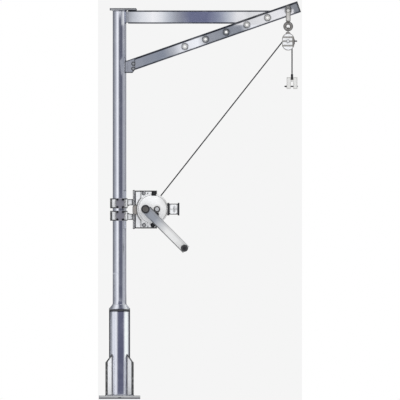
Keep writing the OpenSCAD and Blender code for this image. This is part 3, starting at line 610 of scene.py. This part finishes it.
def make_rope():
    leave, reach, angle = rope_line()
    mesh = bmesh.new()
    drum_centre = Vector((DRUM.x, 0, DRUM.z))
    path = arc(drum_centre, LAYER_2_R, angle + 90 + 170, angle + 90, 48)[:-1]
    path += [leave, reach]
    path += arc(SHEAVE, SHEAVE_PITCH, angle + 90, 0, 40)[1:]
    lay_rope(mesh, resampled(path, 2.6 * MM))
    run = piece_from("wire_rope_run", mesh, "mast", "wire_rope")
    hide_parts("rope_run")

    mesh = bmesh.new()
    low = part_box("rope_fall")[0].z
    steps = 76
    path = [Vector((FALL.x, 0, SHEAVE.z + (low - SHEAVE.z) * i / steps)) for i in range(steps + 1)]
    lay_rope(mesh, path)
    fall = piece_from("wire_rope_fall", mesh, None, "wire_rope")
    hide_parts("rope_fall")
    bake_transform(fall)

    mesh = bmesh.new()
    first_layer = [(i - (LAYER_1_TURNS - 1) / 2) * TURN_PITCH for i in range(LAYER_1_TURNS)]
    second_layer = [-i * TURN_PITCH for i in range(1, LAYER_2_TURNS + 1)]
    half = LAYER_1_TURNS // 2
    # no crossing lies under the run, which leaves the drum at its middle
    lay_rope(mesh, coils(LAYER_1_R, first_layer[:half]), sides=4)
    lay_rope(mesh, coils(LAYER_1_R, first_layer[half:]), sides=4)
    lay_rope(mesh, coils(LAYER_2_R, second_layer), sides=4)
    windings = piece_from("wire_rope_windings", mesh, "drum", "wire_rope")
    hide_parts("rope_windings")


def bead(mesh, path, radius, closed=False, up=ALONG_Z):
    """A weld bead along path, with the ripples of its pool."""
    points = resampled(path + path[:1], 2.0 * MM)[:-1] if closed else resampled(path, 2.0 * MM)
    sweep(mesh, points, lambda i: radius * (0.90 + 0.12 * math.sin(i * 2.1)), 7, closed, up)


def circle_at(z, radius, steps=120):
    angles = [2 * math.pi * k / steps for k in range(steps)]
    return [Vector((radius * math.cos(a), radius * math.sin(a), z)) for a in angles]


def make_welds():
    zinc = satin_steel("weld_zinc", (0.74, 0.75, 0.79), (0.62, 0.63, 0.67), (0.45, 0.46, 0.48),
                       rough=(0.3, 0.4), edge=0.5 * MM)
    mesh = bmesh.new()
    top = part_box("base_plate")[1].z
    bead(mesh, circle_at(top + 1.5 * MM, SOCKET_R + 1.5 * MM), 3.5 * MM, closed=True)
    reach = GUSSET_REACH - 3 * MM
    gusset_top = 269 * MM
    for quarter in range(4):
        turn = Matrix.Rotation(math.radians(45 + 90 * quarter), 3, "Z")
        for side in (-1, 1):
            y = side * 4.5 * MM
            foot = [Vector((SOCKET_R, y, top + 1 * MM)), Vector((reach, y, top + 1 * MM))]
            root = [Vector((SOCKET_R, y, top)), Vector((SOCKET_R, y, gusset_top - 2 * MM))]
            for line in (foot, root):
                bead(mesh, [turn @ point for point in line], 2.6 * MM)
    piece_from("pedestal_welds", mesh, "pedestal", "galvanised_steel", zinc)

    mesh = bmesh.new()
    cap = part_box("cap_plate")
    bead(mesh, circle_at(cap[0].z - 1 * MM, MAST_R + 0.5 * MM), 2.2 * MM, closed=True)
    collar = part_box("rain_collar")
    bead(mesh, circle_at(collar[1].z, MAST_R + 1 * MM), 2.2 * MM, closed=True)
    bracket_low, bracket_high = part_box("boom_bracket")
    for y in (bracket_low.y, bracket_high.y):
        x = math.sqrt(MAST_R ** 2 - (abs(y) - 2 * MM) ** 2)
        line = [Vector((x, y, bracket_low.z + 2 * MM)), Vector((x, y, bracket_high.z - 2 * MM))]
        bead(mesh, line, 2.6 * MM, up=ALONG_Y)
    bar_low, bar_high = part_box("top_bar")
    bar_start = 51 * MM
    lug = 16 * MM
    for y in (-lug, lug):
        line = [Vector((bar_start, y, bar_low.z + 8 * MM)), Vector((bar_start, y, bar_high.z - 8 * MM))]
        bead(mesh, line, 2.4 * MM, up=ALONG_Y)
    slope = math.radians(BOOM_ANGLE)
    for y in (bar_low.y + 6 * MM, bar_high.y - 6 * MM):
        line = [Vector(((z - BOOM_ROOT_Z - BOOM_HALF / math.cos(slope)) / math.tan(slope), y, z))
                for z in (bar_low.z, bar_high.z)]
        bead(mesh, line, 2.4 * MM, up=ALONG_Y)
    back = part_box("winch_back_plate")
    for y in (back[0].y, back[1].y):
        line = [Vector((back[1].x, y, back[0].z + 6 * MM)), Vector((back[1].x, y, back[1].z - 6 * MM))]
        bead(mesh, line, 2.2 * MM, up=ALONG_Y)
    piece_from("mast_welds", mesh, "mast", "galvanised_steel", zinc)

    mesh = bmesh.new()
    lip = 0.85 * MM
    seal_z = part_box("top_bush")[1].z + lip + 0.2 * MM
    for inset in (1.0, 2.4, 3.8):
        sweep(mesh, circle_at(seal_z, SOCKET_R - inset * MM), lip, 6, closed=True, up=ALONG_Z)
    piece_from("collar_lip_seal", mesh, "mast", "nylon")


# ---- small fasteners ----

def revolve(mesh, at, outline, closed=False, sides=24):
    """Adds a body turned about an axis along Y through at, (x, z). outline is (radius, y) points."""
    angles = [2 * math.pi * k / sides for k in range(sides)]
    rings = []
    for radius, y in outline:
        places = [(at[0] + radius * math.cos(a), y, at[1] + radius * math.sin(a)) for a in angles]
        rings.append([mesh.verts.new(place) for place in places])
    for low, high in list(zip(rings, rings[1:])) + ([(rings[-1], rings[0])] if closed else []):
        for k in range(sides):
            mesh.faces.new((low[k], low[(k + 1) % sides], high[(k + 1) % sides], high[k]))
    if not closed:
        mesh.faces.new(rings[0])
        mesh.faces.new(rings[-1][::-1])


def washer(mesh, at, face, out, hole, rim):
    """A washer on the plane y = face, towards out = -1 or 1."""
    thick = out * 1.6 * MM
    chamfer = 0.4 * MM
    revolve(mesh, at, [
        (hole, face), (rim, face), (rim, face + 0.7 * thick),
        (rim - chamfer, face + thick), (hole, face + thick),
    ], closed=True, sides=32)


def pan_screw(mesh, at, face, out, radius):
    """A pan head with a recess, on the plane y = face."""
    high = out * 0.7 * radius
    revolve(mesh, at, [
        (radius, face), (radius, face + 0.5 * high), (0.85 * radius, face + 0.9 * high),
        (0.55 * radius, face + high), (0.35 * radius, face + high), (0.30 * radius, face + 0.5 * high),
        (0.1 * radius, face + 0.45 * high),
    ])


def split_pin(mesh, at, length):
    """A split pin down through a pin's end at the point at, its eye on top and its legs bent apart below."""
    wire = 0.9 * MM
    eye_r = 2.4 * MM
    eye = [at + Vector((eye_r * math.cos(a), 0, length + eye_r * (1 + math.sin(a))))
           for a in (2 * math.pi * k / 16 - math.pi / 2 for k in range(16))]
    sweep(mesh, eye, wire, 6, closed=True)
    for side in (-1, 1):
        leg = [at + Vector((side * 0.8 * MM, 0, length)), at + Vector((side * 0.8 * MM, 0, -length))]
        leg.append(at + Vector((side * 3.5 * MM, 0, -length - 5 * MM)))
        leg.append(at + Vector((side * 5.0 * MM, 0, -length - 6 * MM)))
        sweep(mesh, leg, wire, 6)


# where the winch's tie bars, cover bolts and plate screws go through, (x, z)
TIE_BARS = ((146 * MM, 1240 * MM), (148 * MM, 1048 * MM))
UPPER_COVER_BOLT = (207 * MM, 1239 * MM)
LOWER_COVER_BOLT = (200 * MM, 1047 * MM)
PLATE_SCREWS = ((171 * MM, 1240 * MM), (171 * MM, 1040 * MM))


def make_fasteners():
    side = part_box("winch_side_back")[1].y
    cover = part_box("gear_cover")[0].y
    mesh = bmesh.new()
    for at in TIE_BARS:
        washer(mesh, at, -side, -1, 8 * MM, 12.5 * MM)
        washer(mesh, at, side, 1, 8 * MM, 12.5 * MM)
    for at in (UPPER_COVER_BOLT, LOWER_COVER_BOLT):
        washer(mesh, at, side, 1, 8 * MM, 12.5 * MM)
    for at in PLATE_SCREWS:
        for out in (-1, 1):
            pan_screw(mesh, at, out * side, out, 4.5 * MM)
    box_low, box_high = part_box("side_box")
    inset = 6 * MM
    for x in (box_low.x + inset, box_high.x - inset):
        for z in (box_low.z + inset, box_high.z - inset):
            pan_screw(mesh, (x, z), cover, -1, 2.6 * MM)
    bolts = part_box("bracket_bolts")
    middle_x = (bolts[0].x + bolts[1].x) / 2
    half_head = 8.7 * MM
    for z in (bolts[0].z + half_head, bolts[1].z - half_head):
        washer(mesh, (middle_x, z), bolts[0].y + 8 * MM, -1, 9 * MM, 13 * MM)
        washer(mesh, (middle_x, z), bolts[1].y - 10 * MM, 1, 9 * MM, 13 * MM)
    piece_from("mast_washers", mesh, "mast", "zinc_plated")

    mesh = bmesh.new()
    washer(mesh, UPPER_COVER_BOLT, cover - 2 * MM, -1, 8 * MM, 13 * MM)
    washer(mesh, LOWER_COVER_BOLT, cover, -1, 8 * MM, 14 * MM)
    piece_from("cover_washers", mesh, "mast", "black_oxide")

    mesh = bmesh.new()
    pin_low, pin_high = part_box("hanger_pin")
    centre = (pin_low + pin_high) / 2
    split_pin(mesh, Vector((centre.x, pin_high.y - 5 * MM, centre.z)), 9.5 * MM)
    piece_from("hanger_split_pin", mesh, "mast", "zinc_plated")


# ---- studio ----

MIDDLE_X = 0.485
HALF_STRIP = 0.615
BACKDROP_Y = 40
PALE = (0.913, 0.913, 0.913, 1.0)


def make_camera():
    data = bpy.data.cameras.new("camera")
    data.type = "ORTHO"
    data.ortho_scale = 2.412
    camera = bpy.data.objects.new("camera", data)
    camera.location = (MIDDLE_X, -6.0, 1.199)
    camera.rotation_euler = (math.radians(90), 0, 0)
    bpy.context.scene.collection.objects.link(camera)
    bpy.context.scene.camera = camera


def make_world():
    """Pale to the camera, plain to diffuse surfaces, and a studio's light and dark sides to shiny ones."""
    world = bpy.data.worlds.new("studio")
    bpy.context.scene.world = world
    world.use_nodes = True
    tree = world.node_tree
    tree.nodes.clear()

    def add(kind, **settings):
        node = tree.nodes.new(kind)
        for key, value in settings.items():
            setattr(node, key, value)
        return node

    where = add("ShaderNodeTexCoord")
    split = add("ShaderNodeSeparateXYZ")
    tree.links.new(where.outputs["Generated"], split.inputs["Vector"])
    flip = add("ShaderNodeMath", operation="MULTIPLY")
    flip.inputs[1].default_value = -1.0
    tree.links.new(split.outputs["Y"], flip.inputs[0])
    angle = add("ShaderNodeMath", operation="ARCTAN2")
    tree.links.new(split.outputs["X"], angle.inputs[0])
    tree.links.new(flip.outputs[0], angle.inputs[1])
    share = add("ShaderNodeMapRange")
    share.inputs["From Min"].default_value = -math.pi
    share.inputs["From Max"].default_value = math.pi
    tree.links.new(angle.outputs[0], share.inputs["Value"])
    ramp = add("ShaderNodeValToRGB")
    bands = [
        (-180, (0.22, 0.23, 0.25)), (-135, (0.18, 0.18, 0.20)), (-108, (0.21, 0.22, 0.24)),
        (-84, (0.40, 0.41, 0.44)), (-62, (0.52, 0.53, 0.57)), (-43, (1.00, 1.00, 1.02)),
        (0, (0.97, 0.97, 0.98)), (50, (0.80, 0.80, 0.82)), (64, (0.40, 0.41, 0.44)),
        (105, (0.47, 0.47, 0.49)), (128, (0.18, 0.18, 0.19)), (180, (0.22, 0.23, 0.25)),
    ]
    stops = ramp.color_ramp.elements
    while len(stops) < len(bands):
        stops.new(0.5)
    for stop, (degrees, colour) in zip(stops, bands):
        stop.position = (degrees + 180) / 360
        stop.color = (*colour, 1.0)
    tree.links.new(share.outputs["Result"], ramp.inputs["Fac"])

    lift = add("ShaderNodeMath", operation="ABSOLUTE")
    tree.links.new(split.outputs["Z"], lift.inputs[0])
    dark = add("ShaderNodeMapRange", interpolation_type="SMOOTHSTEP")
    tree.links.new(lift.outputs[0], dark.inputs["Value"])
    for key, value in (("From Min", 0.45), ("From Max", 0.80), ("To Min", 0.0), ("To Max", 1.0)):
        dark.inputs[key].default_value = value
    studio = add("ShaderNodeMix", data_type="RGBA")
    tree.links.new(dark.outputs["Result"], studio.inputs[0])
    tree.links.new(ramp.outputs["Color"], studio.inputs[6])
    studio.inputs[7].default_value = (0.13, 0.135, 0.16, 1.0)
    overhead = add("ShaderNodeMapRange", interpolation_type="SMOOTHSTEP")
    tree.links.new(split.outputs["Z"], overhead.inputs["Value"])
    overhead.inputs["From Min"].default_value = 0.84
    overhead.inputs["From Max"].default_value = 0.96
    ceiling = add("ShaderNodeMix", data_type="RGBA")
    tree.links.new(overhead.outputs["Result"], ceiling.inputs[0])
    tree.links.new(studio.outputs[2], ceiling.inputs[6])
    ceiling.inputs[7].default_value = (0.62, 0.63, 0.66, 1.0)

    path = add("ShaderNodeLightPath")

    def background(colour, strength):
        node = add("ShaderNodeBackground")
        node.inputs["Strength"].default_value = strength
        if isinstance(colour, tuple):
            node.inputs["Color"].default_value = colour
        else:
            tree.links.new(colour, node.inputs["Color"])
        return node.outputs[0]

    def choose(amount, first, second):
        node = add("ShaderNodeMixShader")
        tree.links.new(amount, node.inputs[0])
        tree.links.new(first, node.inputs[1])
        tree.links.new(second, node.inputs[2])
        return node.outputs[0]

    plain = background((0.96, 0.97, 1.0, 1.0), 0.80)
    shiny = choose(path.outputs["Is Glossy Ray"], plain, background(ceiling.outputs[2], 1.0))
    seen = choose(path.outputs["Is Camera Ray"], shiny, background(PALE, 1.0))
    output = add("ShaderNodeOutputWorld")
    tree.links.new(seen, output.inputs["Surface"])


def make_floor():
    mesh = bmesh.new()
    bmesh.ops.create_grid(mesh, x_segments=2, y_segments=2, size=9.0)
    data = bpy.data.meshes.new("floor")
    mesh.to_mesh(data)
    mesh.free()
    floor = bpy.data.objects.new("floor", data)
    floor.location = (0, 0, -0.5 * MM)
    bpy.context.scene.collection.objects.link(floor)
    s = Shader("floor")
    tone = s.fit(s.noise(0.8, 3.0), 0.3, 0.7, 0.0, 1.0)
    colour = s.mix(tone, (0.90, 0.90, 0.90), (0.93, 0.93, 0.93))
    data.materials.append(s.put(Base_Color=colour, Roughness=0.9))


def make_margins():
    """White cards far behind, to either side of the pale strip before which the crane stands."""
    material = bpy.data.materials.new("white_card")
    material.use_nodes = True
    tree = material.node_tree
    tree.nodes.clear()
    glow = tree.nodes.new("ShaderNodeEmission")
    output = tree.nodes.new("ShaderNodeOutputMaterial")
    tree.links.new(glow.outputs[0], output.inputs["Surface"])
    low, high = -0.02, 2.42
    for side in (-1, 1):
        near, far = MIDDLE_X + side * HALF_STRIP, MIDDLE_X + side * 2 * HALF_STRIP
        corners = [(near, low), (far, low), (far, high), (near, high)]
        data = bpy.data.meshes.new("margin")
        data.from_pydata([(x, BACKDROP_Y, z) for x, z in corners], [], [(0, 1, 2, 3)])
        data.materials.append(material)
        margin = bpy.data.objects.new("margin", data)
        margin.visible_diffuse = margin.visible_glossy = False
        margin.visible_transmission = margin.visible_shadow = False
        bpy.context.scene.collection.objects.link(margin)


def make_key():
    data = bpy.data.lights.new("key", "SUN")
    data.energy = 1.0
    data.angle = math.radians(25)
    key = bpy.data.objects.new("key", data)
    key.rotation_euler = Vector((-0.5, 1.0, -0.9)).to_track_quat("-Z", "Y").to_euler()
    bpy.context.scene.collection.objects.link(key)


def reflector(name, centre, size, facing, shades, fade, fade_ends, lean=0.0):
    """A studio card that only shiny surfaces in front of it see.

    shades is a colour, or a list of (share of the width, colour) for a card that changes from left to right.
    fade is the faded share of the width at the left and at the right, fade_ends that of the height at both
    ends, and lean turns the card in its own plane, in degrees.
    """
    mesh = bmesh.new()
    bmesh.ops.create_grid(mesh, x_segments=1, y_segments=1, size=0.5)
    data = bpy.data.meshes.new(name)
    mesh.to_mesh(data)
    mesh.free()
    card = bpy.data.objects.new(name, data)
    card.location = centre
    card.scale = (size[0], size[1], 1)
    turn = Vector(facing).to_track_quat("Z", "Y").to_matrix() @ Matrix.Rotation(math.radians(lean), 3, "Z")
    card.rotation_euler = turn.to_euler()
    bpy.context.scene.collection.objects.link(card)
    card.visible_camera = card.visible_diffuse = card.visible_shadow = card.visible_transmission = False
    material = bpy.data.materials.new(name)
    material.use_nodes = True
    tree = material.node_tree
    tree.nodes.clear()
    place = tree.nodes.new("ShaderNodeTexCoord")
    split = tree.nodes.new("ShaderNodeSeparateXYZ")
    tree.links.new(place.outputs["Object"], split.inputs["Vector"])

    def faded(axis, start, share):
        node = tree.nodes.new("ShaderNodeMapRange")
        node.interpolation_type = "SMOOTHSTEP"
        tree.links.new(split.outputs[axis], node.inputs["Value"])
        node.inputs["From Min"].default_value = start
        node.inputs["From Max"].default_value = start * (1 - 2 * max(share, 0.001))
        return node.outputs["Result"]

    def times(first, second):
        node = tree.nodes.new("ShaderNodeMath")
        node.operation = "MULTIPLY"
        tree.links.new(first, node.inputs[0])
        tree.links.new(second, node.inputs[1])
        return node.outputs[0]

    # facing the object, a card's local -X is on the camera's right
    across = times(faded("X", 0.5, fade[0]), faded("X", -0.5, fade[1]))
    solid = times(across, times(faded("Y", -0.5, fade_ends), faded("Y", 0.5, fade_ends)))
    front = tree.nodes.new("ShaderNodeMath")
    front.operation = "SUBTRACT"
    front.inputs[0].default_value = 1.0
    tree.links.new(tree.nodes.new("ShaderNodeNewGeometry").outputs["Backfacing"], front.inputs[1])
    solid = times(solid, front.outputs[0])
    clear = tree.nodes.new("ShaderNodeBsdfTransparent")
    glow = tree.nodes.new("ShaderNodeEmission")
    if isinstance(shades, tuple):
        glow.inputs["Color"].default_value = (*shades, 1.0)
    else:
        ramp = tree.nodes.new("ShaderNodeValToRGB")
        stops = ramp.color_ramp.elements
        while len(stops) < len(shades):
            stops.new(0.5)
        for stop, (share, colour) in zip(stops, shades):
            stop.position = share
            stop.color = (*colour, 1.0)
        along = tree.nodes.new("ShaderNodeMapRange")
        tree.links.new(split.outputs["X"], along.inputs["Value"])
        along.inputs["From Min"].default_value = 0.5
        along.inputs["From Max"].default_value = -0.5
        tree.links.new(along.outputs["Result"], ramp.inputs["Fac"])
        tree.links.new(ramp.outputs["Color"], glow.inputs["Color"])
    mix = tree.nodes.new("ShaderNodeMixShader")
    tree.links.new(solid, mix.inputs[0])
    tree.links.new(clear.outputs[0], mix.inputs[1])
    tree.links.new(glow.outputs[0], mix.inputs[2])
    output = tree.nodes.new("ShaderNodeOutputMaterial")
    tree.links.new(mix.outputs[0], output.inputs["Surface"])
    data.materials.append(material)


def graded(low, high, stops):
    """(x in metres, colour) stops of a card from low to high, as shares of its width."""
    return [((x - low) / (high - low), colour) for x, colour in stops]


def make_cards():
    """Dark and pale cards round the object, as a photographer sets them to draw bands on bright metal."""
    front, left, right, down, back = (0, 1, 0), (-1, 0, 0), (1, 0, 0), (0, 0, -1), (0, -1, 0)
    slate = (0.125, 0.13, 0.17)
    violet = (0.120, 0.125, 0.185)
    reflector("mast_card", (0.070, -0.13, 1.45), (0.26, 1.84), front, slate, (0.23, 0.38), 0.05)
    reflector("socket_card", (0.035, -0.13, 0.306), (0.22, 0.57), front, violet, (0.25, 0.32), 0.01)
    reflector("socket_right_card", (0.35, -0.10, 0.28), (0.36, 0.60), left, (1.10, 1.13, 1.06),
              (0.12, 0.22), 0.05)
    reflector("socket_left_card", (-0.35, -0.17, 0.28), (0.34, 0.60), right, (0.84, 0.85, 0.89),
              (0.35, 0.35), 0.05)
    for side in (-1, 1):
        reflector("socket_edge_card", (side * 0.245, 0.25, 0.30), (0.40, 0.54), back, (0.05, 0.052, 0.06),
                  (0.1, 0.1), 0.02)
    above, reach = 0.76, 0.25
    reflector("collar_card", (0, 0.10, above), (2 * reach, 0.50), down, graded(-reach, reach, [
        (-0.225, (0.34, 0.35, 0.36)), (-0.175, (0.62, 0.63, 0.65)), (-0.11, (1.00, 1.00, 1.01)),
        (-0.06, (0.88, 0.89, 0.92)), (-0.025, (0.30, 0.31, 0.34)), (0.0, slate), (0.08, slate),
        (0.13, (0.44, 0.46, 0.49)), (0.19, (0.74, 0.75, 0.74)), (0.24, (1.05, 1.06, 1.02)),
    ]), (0.03, 0.03), 0.05)
    reflector("mast_edge_card", (0.19, 0.25, 1.46), (0.30, 1.72), back, (0.50, 0.51, 0.53), (0.1, 0.1), 0.03)

    low, high = 0.03, 1.05
    top = middle("top_bar")
    size = (high - low, 0.10)
    reflector("top_bar_card", ((low + high) / 2, -0.09, top.z), size, front, graded(low, high, [
        (0.04, (0.34, 0.35, 0.37)), (0.09, (0.66, 0.67, 0.68)), (0.14, (0.87, 0.87, 0.86)),
        (0.20, (1.06, 1.04, 1.00)), (0.25, (0.87, 0.87, 0.86)), (0.30, (0.54, 0.56, 0.59)),
        (0.35, (0.32, 0.33, 0.37)), (0.43, (0.155, 0.165, 0.26)), (0.53, (0.155, 0.165, 0.26)),
        (0.60, (0.30, 0.32, 0.40)), (0.65, (0.54, 0.56, 0.60)), (0.71, (0.92, 0.90, 0.87)),
        (0.745, (0.93, 0.91, 0.88)), (0.78, (0.80, 0.79, 0.76)), (0.95, (0.94, 0.92, 0.89)),
    ]), (0.0, 0.0), 0.05)
    slope = math.radians(BOOM_ANGLE)
    halfway, half = 0.60, 0.58
    centre = (halfway * math.cos(slope), -0.09, BOOM_ROOT_Z + halfway * math.sin(slope))
    reflector("boom_card", centre, (2 * half, 0.10), front, graded(halfway - half, halfway + half, [
        (0.05, (0.35, 0.36, 0.39)), (0.28, (0.27, 0.295, 0.34)), (0.335, (0.46, 0.47, 0.49)),
        (0.39, (0.88, 0.88, 0.88)), (0.50, (1.04, 1.04, 1.03)), (0.56, (0.36, 0.37, 0.39)),
        (0.66, (0.30, 0.315, 0.34)), (0.77, (0.265, 0.28, 0.31)), (0.83, (0.96, 0.96, 0.955)),
        (0.90, (0.92, 0.92, 0.91)), (0.98, (0.86, 0.86, 0.85)), (1.05, (0.42, 0.42, 0.42)),
        (1.09, (0.25, 0.26, 0.275)),
    ]), (0.0, 0.0), 0.05, -BOOM_ANGLE)


def make_studio():
    make_camera()
    make_world()
    make_floor()
    make_margins()
    make_key()
    make_cards()
    bpy.context.scene.view_settings.view_transform = "Standard"


make_studio()
finish_cad_nodes()
make_rope()
make_welds()
make_fasteners()
